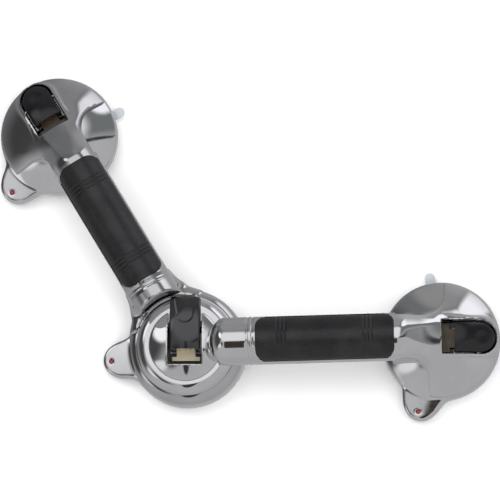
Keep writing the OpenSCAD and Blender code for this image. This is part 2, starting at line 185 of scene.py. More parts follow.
def eased(t, ease):
    """A straight ramp from 0 to 1 whose two ends are rounded over that share of its length."""
    t = np.clip(t, 0, 1)
    end = np.minimum(t, 1 - t)
    bend = end * end / (2 * ease * (1 - ease))
    middle = (t - ease / 2) / (1 - ease)
    return np.where(end < ease, np.where(t < 0.5, bend, 1 - bend), middle)


# ---------------------------------------------------------------- surface from a field

MARGIN = 2.1           # grid steps beyond the given box on each side
SLAB = 24              # grid planes worked out at a time
GRADIENT_STEP = 0.02
CELL_CORNERS = ((-1, -1), (0, -1), (0, 0), (-1, 0))


def gradient(field, p, unit=True):
    g = np.empty_like(p)
    for i in range(3):
        d = np.zeros(3)
        d[i] = GRADIENT_STEP
        g[:, i] = (field(*(p + d).T) - field(*(p - d).T)) / (2 * GRADIENT_STEP)
    if unit:
        g /= np.maximum(np.linalg.norm(g, axis=1, keepdims=True), 1e-9)
    return g


def zero_on_edges(field, start, axis, step, v0, v1):
    """Points where the field is 0 on the grid edges that run from start along the axis."""
    t0, t1 = np.zeros(len(start)), np.ones(len(start))
    for _ in range(4):
        t = np.clip(t0 + (t1 - t0) * v0 / (v0 - v1), t0, t1)
        p = start.copy()
        p[:, axis] += t * step
        v = field(*p.T)
        low_side = (v < 0) == (v0 < 0)
        t0, v0 = np.where(low_side, t, t0), np.where(low_side, v, v0)
        t1, v1 = np.where(low_side, t1, t), np.where(low_side, v1, v)
        v0 = np.where(v0 == 0, 1e-12, v0)
    return p


def crossings(field, axes, step):
    """Where grid edges cross the surface, and the cells round each such edge, in winding order."""
    shape = [len(axis) for axis in axes]
    values = np.empty(shape)
    for i in range(0, shape[0], SLAB):
        grid = np.meshgrid(axes[0][i:i + SLAB], axes[1], axes[2], indexing="ij")
        values[i:i + SLAB] = field(*grid)
    inside = values < 0
    points, cells = [], []
    for a in range(3):
        b, c = (a + 1) % 3, (a + 2) % 3
        first, second = [slice(None)] * 3, [slice(None)] * 3
        first[a], second[a] = slice(0, -1), slice(1, None)
        at = np.argwhere(inside[tuple(first)] != inside[tuple(second)])
        if not len(at):
            continue
        to = at.copy()
        to[:, a] += 1
        start = np.stack([axes[i][at[:, i]] for i in range(3)], 1)
        points.append(zero_on_edges(field, start, a, step[a],
                                    values[tuple(at.T)], values[tuple(to.T)]))
        around = []
        for ob, oc in CELL_CORNERS:
            cell = at.copy()
            cell[:, b] += ob
            cell[:, c] += oc
            around.append(np.ravel_multi_index(cell.T, shape))
        around = np.stack(around, 1)
        leaving = ~inside[tuple(at.T)]
        around[leaving] = around[leaving][:, ::-1]
        cells.append(around)
    return np.concatenate(points), np.concatenate(cells)


def contour(field, low, high, step):
    """Dual contouring: quads on field = 0, with a vertex in each cell that keeps sharp edges."""
    step = np.ones(3) * step
    low = np.array(low, float) - MARGIN * step
    high = np.array(high, float) + MARGIN * step
    n = np.ceil((high - low) / step).astype(int) + 1
    axes = [low[i] + step[i] * np.arange(n[i]) for i in range(3)]
    points, cells = crossings(field, axes, step)
    normals = gradient(field, points)
    active, index = np.unique(cells.ravel(), return_inverse=True)
    index = index.ravel()
    count = np.bincount(index).astype(float)

    def gathered(values_per_edge):
        return np.bincount(index, weights=np.repeat(values_per_edge, 4))

    # each vertex is the point nearest to all its crossings' planes, held near their mean
    mean = np.stack([gathered(points[:, i]) / count for i in range(3)], 1)
    matrix = np.empty((len(active), 3, 3))
    for i in range(3):
        for j in range(i, 3):
            matrix[:, i, j] = matrix[:, j, i] = gathered(normals[:, i] * normals[:, j])
    plane = np.einsum("ij,ij->i", normals, points)
    right = np.stack([gathered(normals[:, i] * plane) for i in range(3)], 1)
    right -= np.einsum("nij,nj->ni", matrix, mean)
    matrix += np.eye(3) * (0.04 * count)[:, None, None]
    found = mean + np.linalg.solve(matrix, right[:, :, None])[:, :, 0]
    cell = np.unravel_index(active, n)
    corner = np.stack([axes[i][cell[i]] for i in range(3)], 1)
    found = np.clip(found, corner, corner + step)

    # short steps down the gradient bring the vertices onto the surface
    for _ in range(2):
        value = field(*found.T)
        slope = gradient(field, found, unit=False)
        size = np.maximum(np.einsum("ij,ij->i", slope, slope), 0.2)
        move = slope * (value / size)[:, None]
        length = np.linalg.norm(move, axis=1, keepdims=True)
        found -= move * np.minimum(1, 0.4 * step.min() / np.maximum(length, 1e-9))
    return found, index.reshape(-1, 4)


def mesh_object(name, points, faces, place, sharp=40):
    """Makes an object from local points in mm and puts it in the frame in metres."""
    world = (points @ place[:, :3].T + place[:, 3]) * 0.001
    mesh = bpy.data.meshes.new(name)
    mesh.from_pydata(world.tolist(), [], [list(map(int, f)) for f in faces])
    mesh.validate()
    mesh.polygons.foreach_set("use_smooth", np.ones(len(mesh.polygons), bool))
    mesh.set_sharp_from_angle(angle=math.radians(sharp))
    obj = bpy.data.objects.new(name, mesh)
    bpy.context.scene.collection.objects.link(obj)
    return obj


def piece(obj, body, material, node):
    """Gives a finer piece its material, body and slot, and the CAD node that it replaces."""
    obj.data.materials.clear()
    obj.data.materials.append(material)
    if body:
        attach(obj, body)
    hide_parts(node)


# ---------------------------------------------------------------- materials

MIX_A, MIX_B, MIX_RESULT = 6, 7, 2  # sockets of a Mix node that mixes colours


def add(tree, kind, settings=None, **attributes):
    """A new node, with settings for its input sockets and attributes for itself."""
    node = tree.nodes.new(kind)
    for key, value in attributes.items():
        setattr(node, key, value)
    for key, value in (settings or {}).items():
        node.inputs[key].default_value = value
    return node


def noise(tree, scale, detail):
    coords = add(tree, "ShaderNodeTexCoord")
    node = add(tree, "ShaderNodeTexNoise", {"Scale": scale, "Detail": detail})
    tree.links.new(coords.outputs["Object"], node.inputs["Vector"])
    return node.outputs["Fac"]


def remap(tree, source, settings, **attributes):
    node = add(tree, "ShaderNodeMapRange", settings, **attributes)
    tree.links.new(source, node.inputs["Value"])
    return node.outputs["Result"]


def mixed(tree, factor, first, second):
    """Colour that goes from first to second, which is a socket or a plain colour."""
    mix = add(tree, "ShaderNodeMix", data_type="RGBA")
    tree.links.new(factor, mix.inputs["Factor"])
    tree.links.new(first, mix.inputs[MIX_A])
    if isinstance(second, tuple):
        mix.inputs[MIX_B].default_value = (*second, 1)
    else:
        tree.links.new(second, mix.inputs[MIX_B])
    return mix.outputs[MIX_RESULT]


def principled(tree):
    return next(n for n in tree.nodes if n.type == "BSDF_PRINCIPLED")


def surface(name, colour_low, colour_high, scale, rough, metallic=0.0, bump=0.0, bump_scale=0.0,
            coat=0.0, transmission=0.0, specular=0.5):
    """A principled material whose colour, roughness and bump vary with noise."""
    material = bpy.data.materials.new(name)
    material.use_nodes = True
    tree = material.node_tree
    shader = principled(tree)
    colour = add(tree, "ShaderNodeValToRGB")
    for stop, position, tint in zip(colour.color_ramp.elements, (0.35, 0.65),
                                    (colour_low, colour_high)):
        stop.position = position
        stop.color = (*tint, 1)
    tree.links.new(noise(tree, scale, 3.0), colour.inputs["Fac"])
    tree.links.new(colour.outputs["Color"], shader.inputs["Base Color"])
    grain = remap(tree, noise(tree, scale * 6, 4.0),
                  {"From Min": 0.3, "From Max": 0.7, "To Min": rough[0], "To Max": rough[1]})
    tree.links.new(grain, shader.inputs["Roughness"])
    shader.inputs["Metallic"].default_value = metallic
    shader.inputs["Coat Weight"].default_value = coat
    shader.inputs["Transmission Weight"].default_value = transmission
    shader.inputs["Specular IOR Level"].default_value = specular
    if bump:
        node = add(tree, "ShaderNodeBump", {"Strength": bump, "Distance": 0.0004})
        tree.links.new(noise(tree, bump_scale, 2.0), node.inputs["Height"])
        tree.links.new(node.outputs["Normal"], shader.inputs["Normal"])
    return material


def paint_inner_shade(material, dark):
    """Paints shade into the base colour: mixes it to dark where the mesh carries inner = 1, as on a
    slot's walls.
    """
    tree = material.node_tree
    base = principled(tree).inputs["Base Color"]
    inner = add(tree, "ShaderNodeAttribute", attribute_name="inner")
    tree.links.new(mixed(tree, inner.outputs["Fac"], base.links[0].from_socket, dark), base)


# marks the points that take painted shade
def mark_painted_shade(obj, inner):
    attribute = obj.data.attributes.new("inner", "FLOAT", "POINT")
    attribute.data.foreach_set("value", inner.astype(np.float32))


CHROME = surface("chrome", (0.70, 0.70, 0.71), (0.78, 0.78, 0.79), 24, (0.035, 0.09),
                 metallic=1.0, bump=0.05, bump_scale=45)
# the left arm's front shell: the same chrome with a darker base colour, painted shade that darkens
# the left head
CHROME_LEFT_SHADED = surface("chrome_left_shaded", (0.56, 0.56, 0.57), (0.64, 0.64, 0.65), 24, (0.035, 0.09),
                      metallic=1.0, bump=0.05, bump_scale=45)
CHROME_BACK = surface("chrome_back", (0.62, 0.62, 0.63), (0.72, 0.72, 0.73), 30, (0.10, 0.20),
                      metallic=1.0, bump=0.03, bump_scale=90)
# both chromes take painted shade, near black, where a mesh is marked inner
for chrome in (CHROME, CHROME_LEFT_SHADED):
    paint_inner_shade(chrome, (0.03, 0.03, 0.03))
RUBBER = surface("grip_rubber", (0.005, 0.005, 0.006), (0.011, 0.011, 0.012), 60, (0.24, 0.38),
                 bump=0.35, bump_scale=900)
LEVER = surface("lever_plastic", (0.004, 0.004, 0.005), (0.008, 0.008, 0.009), 40, (0.16, 0.28),
                bump=0.06, bump_scale=500, coat=0.15, specular=0.4)
LEVER_GLOSS = surface("lever_gloss", (0.006, 0.006, 0.007), (0.012, 0.012, 0.013), 40,
                      (0.10, 0.18), bump=0.05, bump_scale=500, coat=0.8, specular=0.6)
CUP = surface("cup_elastomer", (0.72, 0.75, 0.78), (0.80, 0.83, 0.86), 35, (0.12, 0.25),
              bump=0.06, bump_scale=200, transmission=0.45)
NYLON = surface("stem_nylon", (0.62, 0.53, 0.36), (0.74, 0.66, 0.48), 70, (0.35, 0.55),
                bump=0.15, bump_scale=700)
# the end units' stems: a much darker copy of the stem nylon, painted shade for stems that sit deep
# in their slots
NYLON_SHADED = surface("stem_nylon_shaded", (0.050, 0.034, 0.020), (0.095, 0.064, 0.038), 70, (0.30, 0.45),
                bump=0.15, bump_scale=700)
RED = surface("indicator_red", (0.26, 0.020, 0.022), (0.36, 0.035, 0.035), 300, (0.2, 0.35),
              bump=0.1, bump_scale=1500)
STEEL = surface("steel", (0.45, 0.44, 0.43), (0.60, 0.59, 0.57), 200, (0.22, 0.38),
                metallic=1.0, bump=0.15, bump_scale=1500)
ALUMINIUM = surface("aluminium", (0.55, 0.55, 0.56), (0.68, 0.68, 0.69), 90, (0.25, 0.40),
                    metallic=1.0, bump=0.1, bump_scale=900)
DARK_PLASTIC = surface("dark_plastic", (0.05, 0.05, 0.05), (0.09, 0.09, 0.09), 90, (0.4, 0.6),
                       bump=0.15, bump_scale=900)
WASHER = surface("washer_plastic", (0.03, 0.03, 0.03), (0.06, 0.06, 0.06), 90, (0.35, 0.5),
                 bump=0.1, bump_scale=900)

# ---------------------------------------------------------------- the arms' front shells


def collar_rise(x):
    """How far the collar round the slot stands above the crown."""
    t = np.clip((x - 4) / 24, 0, 1)
    return 2.6 * t * t * (3 - 2 * t)


def head_dome(radius, z):
    """Distance from the crown, a paraboloid that falls HEAD_FALL from its apex to its rim."""
    fall = HEAD_FALL / HEAD_R ** 2
    return (z - HEAD_APEX + fall * radius ** 2) / np.sqrt(1 + (2 * fall * radius) ** 2)


def head_field(x, y, z, ear_side):
    """The head over an end unit; ear_side is the sign of y on the side of the housing's ear."""
    radius = np.hypot(x, y)
    dome = head_dome(radius, z)

    # the tube runs down into the crown along a ramp, with a flat facet on its back
    core_z = TUBE_Z - 28.8 * eased((x + 36) / 47, 0.18)
    tube = np.hypot(y, z - core_z) - TUBE_R + 0.03 * np.maximum(x + 5, 0) ** 2
    tube = smax(tube, z - core_z - TUBE_R + 4.2 * np.clip((x + 36) / 38, 0, 1), 0.8)
    tube = np.maximum(np.where(x > -38, tube / 1.2, tube), x - 14)
    body = smin(tube, dome, 16)
    body = smin(body, overlap(np.abs(y) - TUBE_R, z - core_z, x + 8), 4)

    collar = np.maximum(stadium(x, y, SLOT_TIP + 1.6, SLOT_HALF + 1.8), dome - collar_rise(x))
    body = smin(body, np.maximum(collar, 3 - x), 4.5)
    body = smax(body, np.where(x > -20, radius - HEAD_R, -99.0), 1.5)

    beside_neck = np.minimum(bite(x, y * ear_side, -11.5, 20.0, 14),
                             bite(x, -y * ear_side, 3.5, 19.0, 20))
    body = smax(body, -beside_neck, 1.2)
    housing = np.minimum(ball(x, y, z, BASE_SPHERE + 0.3, BASE_CENTRE), z - 18.4)
    body = np.maximum(body, -housing)
    slot = overlap(stadium(x, y, SLOT_TIP, SLOT_HALF), SLOT_X0 - x, 20.8 - z)
    return smax(body, -slot, 0.8)


def front_field(hub_end, nose, ear_side):
    """A front shell; its tube has a blunt round nose towards the hub, at x below nose."""
    blunt = 1.45

    def field(x, y, z):
        bead_seat = np.clip((x - 54.9) / 0.9, 0, 1) * np.clip((61.5 - x) / 0.9, 0, 1)
        ahead = blunt * np.minimum(x - nose, 0)
        tube = np.sqrt(ahead ** 2 + y * y + (z - TUBE_Z) ** 2) - TUBE_R + 0.5 * bead_seat
        tube = np.where(x < nose, tube / blunt, tube)
        tube = np.maximum(tube, x - ARM_END)
        head = head_field(x - PITCH, y, z, ear_side)
        whole = np.minimum(tube, np.where(x > PITCH - 60, head, 50.0))
        near = x < 80
        if near.any():
            whole = np.where(near, hub_end(x, y, z, tube), whole)

        # inside: a hollow with ribs, and a hole through the ribs for the aluminium core
        middle = np.hypot(y, z - TUBE_Z)
        hollow = overlap(middle - 15.5, BACK_X0 - x, x - ARM_END)
        for rib in RIBS_X:
            hollow = np.maximum(hollow, 1.4 - np.abs(x - rib))
        hollow = np.minimum(hollow, overlap(middle - CORE_HOLE_R, 79.0 - x, x - 165.0))
        whole = np.maximum(whole, -hollow)

        # room for the back shell behind, and a shallow recess for the grip in front
        whole = np.maximum(whole, -overlap(BACK_X0 - x, x - BACK_X1, z - TUBE_Z))
        outline = rounded_rectangle(x, y, GRIP_X0 - 0.1, GRIP_X1 + 0.1, 19.3, 9.1)
        return np.maximum(whole, -overlap(outline, TUBE_Z - z, 19.0 - middle))
    return field


def left_hub_end(x, y, z, tube):
    """The left arm's end at the hub: a wide low disc, joined to the tube by a sloping neck."""
    radius = np.hypot(x, y)
    disc = rounded_top(radius, z, 51.0, 31.5, 10.5)
    plan = smin(radius - 51.0, np.maximum(np.abs(y) - 20.6, 40 - x), 26)
    t = np.clip((x - 44) / 18, 0, 1)
    top = 33 + 14 * t * t * (3 - 2 * t)
    neck = overlap(rounded_top(plan, z, 0, top, 10.5) * 0.8, x - 66, 36 - x)
    slope = (z - 24 - 0.9 * np.maximum(x - 50, 0)) * -0.7
    neck = smax(neck, slope, 4)
    whole = smin(smin(tube, neck, 12), disc, 4)
    whole = smax(whole, -np.maximum(radius - 44.6, 31.5 - z), 1.6)
    return overlap(whole, 18.3 - z, HUB_BORE_R - radius)


def right_hub_end(x, y, z, tube):
    """The right arm's end at the hub: a narrower upper ring with a seat for the cap."""
    radius = np.hypot(x, y)
    ring = rounded_top(radius, z, 43.4, 42.4, 9.4)
    ring = np.maximum(ring, np.where(z < 43.4, HUB_BORE_R - radius, -99.0))
    whole = smin(ring, tube, 3)
    cap = np.maximum(radius - 32.6, ball(x, y, z, CAP_SEAT, CAP_CENTRE))
    cap = np.where(z > 42.4, cap, 9.0)
    whole = smax(whole, -cap, 0.8)
    bore = np.where(z < 43.9, HUB_BORE_R - radius, -99.0)
    return overlap(whole, 32.3 - z, bore)


def bead(place, x0, x1, name):
    """A low raised band round the tube, with rolled edges."""
    profile = [(x0 - 0.2, -1.0), (x0, -0.45), (x0 + 0.25, -0.05), (x0 + 0.7, 0.06),
               (x1 - 0.7, 0.06), (x1 - 0.25, -0.05), (x1, -0.45), (x1 + 0.2, -1.0)]
    count, around = 128, len(profile)
    points, faces = [], []
    for i in range(count):
        t = 2 * math.pi * i / count
        for x, rise in profile:
            radius = TUBE_R + rise
            points.append((x, radius * math.cos(t), TUBE_Z + radius * math.sin(t)))
        ring, following = i * around, (i + 1) % count * around
        for k in range(around):
            q = (k + 1) % around
            faces.append((ring + k, ring + q, following + q, following + k))
    return mesh_object(name, np.array(points), faces, place, 50)


def join(main, other):
    with bpy.context.temp_override(active_object=main, object=main,
                                   selected_objects=[main, other],
                                   selected_editable_objects=[main, other]):
        bpy.ops.object.join()


def arm_front(side, place, hub_end, nose, ear_side, low_x, chrome):
    points, quads = contour(front_field(hub_end, nose, ear_side),
                            (low_x, -52, 18), (PITCH + 51, 52, 76), 1.25)
    obj = mesh_object(side + "_front_shell", points, quads, place)
    x, y, z = points[:, 0] - PITCH, points[:, 1], points[:, 2]
    depth = head_dome(np.hypot(x, y), z) - collar_rise(x)
    in_slot = (stadium(x, y, SLOT_TIP, SLOT_HALF) < 0.25) & (x > SLOT_X0 - 0.25)
    # painted shade: the slot's walls deeper than the collar's surface go dark
    mark_painted_shade(obj, in_slot & (depth < -PAINTED_SHADE_DEPTH))
    join(obj, bead(place, 56.6, 59.8, side + "_bead"))
    piece(obj, side + "_arm", chrome, side + "_arm_front")


arm_front("left", LEFT_ARM, left_hub_end, 30.0, 1, -52, CHROME_LEFT_SHADED)
arm_front("right", RIGHT_ARM, right_hub_end, 36.0, -1, -45, CHROME)

# ---------------------------------------------------------------- back shells and grips


def back_field(x, y, z):
    """A back shell: half a tube with ribs, and two bosses whose screws are sunk in it."""
    middle = np.hypot(y, z - TUBE_Z)
    shell = np.maximum(middle - TUBE_R, 17.4 - middle)
    for rib in RIBS_X:
        shell = np.minimum(shell, overlap(np.abs(x - rib) - 1.3, CORE_HOLE_R - middle, middle - 19))
    for at in SCREWS_X:
        shell = np.minimum(shell, np.maximum(np.hypot(x - at, y) - 5, middle - 20))
    shell = smax(np.maximum(shell, z - (TUBE_Z - 0.1)), np.maximum(64.1 - x, x - 179.9), 0.8)
    for at in SCREWS_X:
        away = np.hypot(x - at, y)
        shell = np.maximum(shell, -np.maximum(away - 3.4, z - 40))
        shell = np.maximum(shell, -(away - 1.8))
    return shell


def grip_field(x, y, z):
    """A grip pad with three ring grooves near each end."""
    middle = np.hypot(y, z - TUBE_Z)
    outline = rounded_rectangle(x, y, GRIP_X0, GRIP_X1, 19.2, 9.0)
    pad = smax(np.abs(middle - 20.0) - 0.9, outline, 0.7)
    pad = np.maximum(pad, TUBE_Z - z)
    for i in range(3):
        for at in (GRIP_X0 + 19 + 3.5 * i, GRIP_X1 - 19 - 3.5 * i):
            pad = smax(pad, 0.85 - np.hypot(x - at, middle - 21.2), 0.3)
    return pad


for side, place in (("left", LEFT_ARM), ("right", RIGHT_ARM)):
    points, quads = contour(back_field, (64, -21, 34), (180, 21, 55), (1.25, 1.0, 1.0))
    obj = mesh_object(side + "_back_shell", points, quads, place)
    piece(obj, side + "_arm", CHROME_BACK, side + "_arm_back")
    points, quads = contour(grip_field, (GRIP_X0, -20, 54), (GRIP_X1, 20, 76), (0.55, 0.75, 0.75))
    obj = mesh_object(side + "_grip_pad", points, quads, place, 60)
    piece(obj, side + "_arm", RUBBER, side + "_grip")

# ---------------------------------------------------------------- housings and cups


def housing_field(ear_angle, reach, tab_angle, top, domed):
    """A housing; reach is the distance of its ear's tip, and domed is true for an end unit."""
    def field(x, y, z):
        radius = np.hypot(x, y)
        ear_out, ear_aside = along_across(x, y, ear_angle)

        # the rim, and an ear whose lid slopes down to its tip and its sides
        lobe = np.hypot(ear_out - (reach - 14.3), ear_aside) - 14
        plan = smin(lobe, radius - 48, 26)
        past = np.clip(ear_out - (reach - 14), -12, 16)
        lid = z - 15.6 + 0.13 * past + 0.001 * ear_aside ** 2
        ear = np.maximum(smax(plan, lid, 2.5), 4 - z)
        body = smin(rounded_top(radius, z, BASE_R, top, 4.0), ear, 2.5)

        if domed:
            dome = smax(ball(x, y, z, BASE_SPHERE, BASE_CENTRE), radius - 49, 2)
            body = smin(body, dome, 1.5)
            cavity = np.maximum(radius - 46, ball(x, y, z, BASE_SPHERE - 3, BASE_CENTRE))
            cavity = np.maximum(cavity, -(np.maximum(radius - 8, 15 - z)))
            body = np.maximum(body, -cavity)
            floor = box_field(x, y, z, (-18, -17, 22.5), (34, 17, 40))
            floor = np.maximum(floor, ball(x, y, z, BASE_SPHERE - 1, BASE_CENTRE))
            body = np.minimum(body, floor)
            pocket = box_field(x, y, z, (-15, -14.2, 26.3), (31, 14.2, 90))
            well = box_field(x, y, z, (-15, -8.4, 25.6), (24.5, 8.4, 90))
            body = overlap(body, -pocket, -well, 4.06 - radius)
        else:
            cavity = np.maximum(radius - 46, z - 14.5)
            body = np.maximum(body, -np.minimum(cavity, radius - 9))
        body = np.maximum(body, 3 - z)

        # a notch over the cup's release tab, and the indicator's seat and hole
        tab_out, tab_aside = along_across(x, y, tab_angle)
        notch = overlap(np.abs(tab_aside) - 5.5, z - 7.5, 44 - tab_out)
        body = smax(body, -notch, 1.0)
        away = np.hypot(ear_out - (reach - INDICATOR_INSET), ear_aside)
        body = np.maximum(body, -np.maximum(away - 3.8, z - 13.6))
        return smax(body, -(away - 2.1), 0.5)
    return field


def cup_field(tab_angle):
    """A suction cup with steps up to its hub, a hollow face and a release tab at its rim."""
    def field(x, y, z):
        radius = np.hypot(x, y)
        body = np.maximum(radius - 49.5, z - 3)
        body = smin(body, smax(radius - 33, z - 5.5, 1), 1.5)
        body = smin(body, smax(radius - 18, z - 12, 1.5), 2)
        body = overlap(body, -ball(x, y, z, 121, -118), -z)
        core = overlap(radius - 14.3, 5.7 - z, z - 9.3)
        body = np.maximum(body, -np.minimum(core, np.maximum(radius - 6.3, 9 - z)))
        out, aside = along_across(x, y, tab_angle)
        lift = 1.9 + 0.0225 * np.maximum(out - 47, 0) ** 2
        outline = np.hypot(np.maximum(out - 57.5, 0), aside) - 4.3
        tab = smax(np.maximum(outline, 44 - out), np.abs(z - lift) - 1.05, 1.0)
        return smin(body, tab, 1.2)
    return field


EAR = math.radians(109.5)
TAB = math.radians(98.5)
HUB_EAR = math.radians(99.6)
HUB_TAB = HUB_EAR - math.radians(186)
# side, frame, body of the housing, ear's angle and reach, release tab's angle
UNITS = (("left", LEFT_UNIT, "left_arm", EAR, 72.5, -TAB),
         ("right", RIGHT_UNIT, "right_arm", -EAR, 72.5, TAB),
         ("hub", HUB_UNIT, "hub", HUB_EAR, 75.5, HUB_TAB))

for side, place, body, ear, reach, tab in UNITS:
    domed = side != "hub"
    rim_top, top = (18.0, 34) if domed else (17.5, 18)
    points, quads = contour(housing_field(ear, reach, tab, rim_top, domed),
                            (-76, -76, 3), (76, 76, top), 1.1)
    obj = mesh_object(side + "_housing", points, quads, place)
    if domed:
        x, y, z = points.T
        # painted shade: the pocket under the lever goes dark
        mark_painted_shade(obj, (np.abs(x - 8) < 23.3) & (np.abs(y) < 14.5) & (z > 20) & (z < 33))
    piece(obj, body, CHROME, side + "_base")

    points, quads = contour(cup_field(tab), (-64, -64, 0), (64, 64, 12), 1.0)
    points[:, 2] = np.maximum(points[:, 2], 0)  # nothing below the wall's face
    obj = mesh_object(side + "_suction_cup", points, quads, place, 50)
    piece(obj, None, CUP, side + "_cup")
    x, y = place[:2, 3] * 0.001
    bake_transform(obj)

# ---------------------------------------------------------------- indicators


def button_field(angle, reach):
    def field(x, y, z):
        out, aside = along_across(x, y, angle)
        away = np.hypot(out - (reach - INDICATOR_INSET), aside)
        pin = smax(away - 1.5, z - 15.5 + 0.1 * away ** 2, 0.5)
        flange = np.maximum(away - 3.4, z - 11)
        return np.maximum(np.minimum(pin, flange), 9.5 - z)
    return field


def coil(name, node, turns, wire):
    """A helical spring with closed ends that fills the node's box."""
    low, high = (np.array(v) * 1000 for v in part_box(node))
    middle = (low + high) / 2
    radius = (high[0] - low[0]) / 2 - wire
    steps, around = 24 * turns, 8
    t = np.linspace(0, 2 * math.pi * turns, steps + 1)
    lift = np.clip((t / (2 * math.pi) - 0.6) / (turns - 1.2), 0, 1)
    height = low[2] + wire + lift * (high[2] - low[2] - 2 * wire)
    turn = np.linspace(0, 2 * math.pi, around, endpoint=False)
    out = radius + wire * np.cos(turn)[None, :]
    points = np.stack([middle[0] + out * np.cos(t)[:, None], middle[1] + out * np.sin(t)[:, None],
                       height[:, None] + wire * np.sin(turn)[None, :]], 2).reshape(-1, 3)
    faces = []
    for i in range(steps):
        ring, following = i * around, (i + 1) * around
        for k in range(around):
            q = (k + 1) % around
            faces.append((ring + k, following + k, following + q, ring + q))
    faces.append(tuple(range(around)))
    faces.append(tuple(steps * around + k for k in reversed(range(around))))
    return mesh_object(name, points, faces, turned(0.0), 60)


for side, place, _, ear, reach, _ in UNITS:
    axis = reach - INDICATOR_INSET
    x, y = axis * math.cos(ear), axis * math.sin(ear)
    points, quads = contour(button_field(ear, reach), (x - 4, y - 4, 9), (x + 4, y + 4, 17), 0.4)
    obj = mesh_object(side + "_indicator_button", points, quads, place)
    piece(obj, side + "_indicator", RED, side + "_indicator")

for side, _, body, *_ in UNITS:
    node = side + "_indicator_spring"
    obj = coil(side + "_indicator_coil", node, 5, 0.35)
    piece(obj, body, STEEL, node)
    low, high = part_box(node)
    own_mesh(obj)

# ---------------------------------------------------------------- hub cap


def cap_field(x, y, z):
    """A hollow round cap with a plug below it and a slot for the lever, open towards +x."""
    radius = np.hypot(x, y)
    dome = ball(x, y, z, CAP_SPHERE, CAP_CENTRE)
    body = smax(smax(dome, radius - 32, 2.0), 43.3 - z, 0.6)
    body = np.minimum(body, overlap(radius - 20.96, 38.3 - z, z - 45))
    body = np.maximum(body, -np.maximum(radius - 18.5, z - 49.3))
    slot = np.maximum(np.abs(y) - SLOT_HALF, -17.7 - x)
    return smax(body, -slot, 0.9)


points, quads = contour(cap_field, (-32, -32, 38), (32, 32, 53), 0.7)
obj = mesh_object("hub_round_cap", points, quads, HUB_UNIT)
x, y, z = points.T
depth = ball(x, y, z, CAP_SPHERE, CAP_CENTRE)
# painted shade: the slot's walls below the cap's surface go dark
mark_painted_shade(obj, (np.abs(y) < 15.2) & (x > -18) & (depth < -PAINTED_SHADE_DEPTH))
piece(obj, "hub", CHROME, "hub_cap")

# ---------------------------------------------------------------- levers


def cheeks_field(x, y, z, pin, top):
    """The two cheeks beside the stem's lugs, with the cams that bear on the plate."""
    cam = np.hypot(x - pin - 1.5, z - PIN_Z + 1.5) - 7.2
    plate = overlap(pin - 5.5 - x, x - pin - 9, PIN_Z - z, z - top)
    sides = np.abs(np.abs(y) - 10.75) - 1.85
    return np.maximum(np.minimum(cam, plate), sides)


def hinge_room(x, y, z, pin):
    """Room between the cheeks for the stem's lugs over the lever's swing, and the pin's hole."""
    away = np.hypot(x - pin, z - PIN_Z)
    middle = np.abs(y) - 8.9
    below = overlap(middle, pin - 9 - x, x - pin, PIN_Z - 12 - z, z - PIN_Z - 4.6)
    behind = overlap(middle, x - pin + 4.2, pin - 9 - x)
    room = np.minimum(np.maximum(away - 4.6, middle), below)
    return np.minimum(np.minimum(room, behind), away - 2.55)


def end_lever_field(x, y, z):
    """An end unit's lever: a plate that follows the collar, with a round thumb recess."""
    dome = head_dome(x, z)
    rise = collar_rise(x)
    top = dome - rise - 0.4 + 0.012 * y * y
    plate = smax(top, -(dome - rise + 5.0), 1.0)
    outline = np.maximum(stadium(x, y, 47.6, LEVER_HALF), END_PIN - 5.5 - x)
    plate = smax(plate, outline, 2.2)
    thumb = 20 - np.sqrt((x - 46.9) ** 2 + y * y + (z - 53.4) ** 2)
    plate = smax(plate, thumb, 0.8)
    cheeks = np.maximum(cheeks_field(x, y, z, END_PIN, 50), dome + 2.5)
    return np.maximum(np.minimum(plate, cheeks), -hinge_room(x, y, z, END_PIN))


def hub_lever_field(x, y, z):
    """The hub's lever: an arched plate over the right arm's ring, with a U-shaped recess."""
    arc = np.hypot(x - 10, z + 24) - 75
    top = arc + 0.010 * y * y
    plate = smax(top, -(arc + 5.2), 1.0)
    radius = np.hypot(x, y)
    outline = smax(rounded_rectangle(x, y, -5.5, 60, LEVER_HALF, 2.5), radius - 43.8, 3.0)
    plate = smax(plate, outline, 1.6)
    plate = smax(plate, ((x - 37.5) + (z - 45.8)) * 0.7071, 1.2)
    recess_half = 7.57
    plan = np.where(x < 26, np.hypot(x - 26, y) - recess_half,
                    (np.abs(y) - recess_half - 0.209 * (x - 26)) * 0.98)
    plate = smax(plate, -np.maximum((plan - top) * 0.7071, -(top + 1.38)), 0.4)
    plate = np.maximum(plate, -rounded_top(radius, z, 44.4, 43.7, 10.4))
    cheeks = np.maximum(cheeks_field(x, y, z, 0, 51), arc + 2)
    return np.maximum(np.minimum(plate, cheeks), -hinge_room(x, y, z, 0))


END_LEVER = (end_lever_field, (8, -14, 22), (48, 14, 50), LEVER)
HUB_LEVER = (hub_lever_field, (-8, -14, 26), (45, 14, 52), LEVER_GLOSS)
for side, place, *_ in UNITS:
    field, low, high, plastic = HUB_LEVER if side == "hub" else END_LEVER
    points, quads = contour(field, low, high, 0.6)
    obj = mesh_object(side + "_flip_lever", points, quads, place)
    piece(obj, side + "_lever", plastic, side + "_lever")

# ---------------------------------------------------------------- CAD nodes that stay

KEPT = {"hub_stem": NYLON, "hub_post": DARK_PLASTIC, "hub_screws": STEEL,
        "cap_spring_washer": STEEL, "lower_friction_washer": WASHER,
        "upper_friction_washer": WASHER}
KEPT_ON_EACH_SIDE = {"stem": NYLON_SHADED, "cup_core": DARK_PLASTIC, "lever_pin": STEEL,
                     "cam_plate": STEEL, "base_screws": STEEL, "arm_screws": STEEL,
                     "arm_core": ALUMINIUM}
for name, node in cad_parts.items():
    material = KEPT.get(name) or KEPT_ON_EACH_SIDE.get(name.split("_", 1)[1])
    if material:
        node.data.materials.clear()
        node.data.materials.append(material)

# ---------------------------------------------------------------- floor

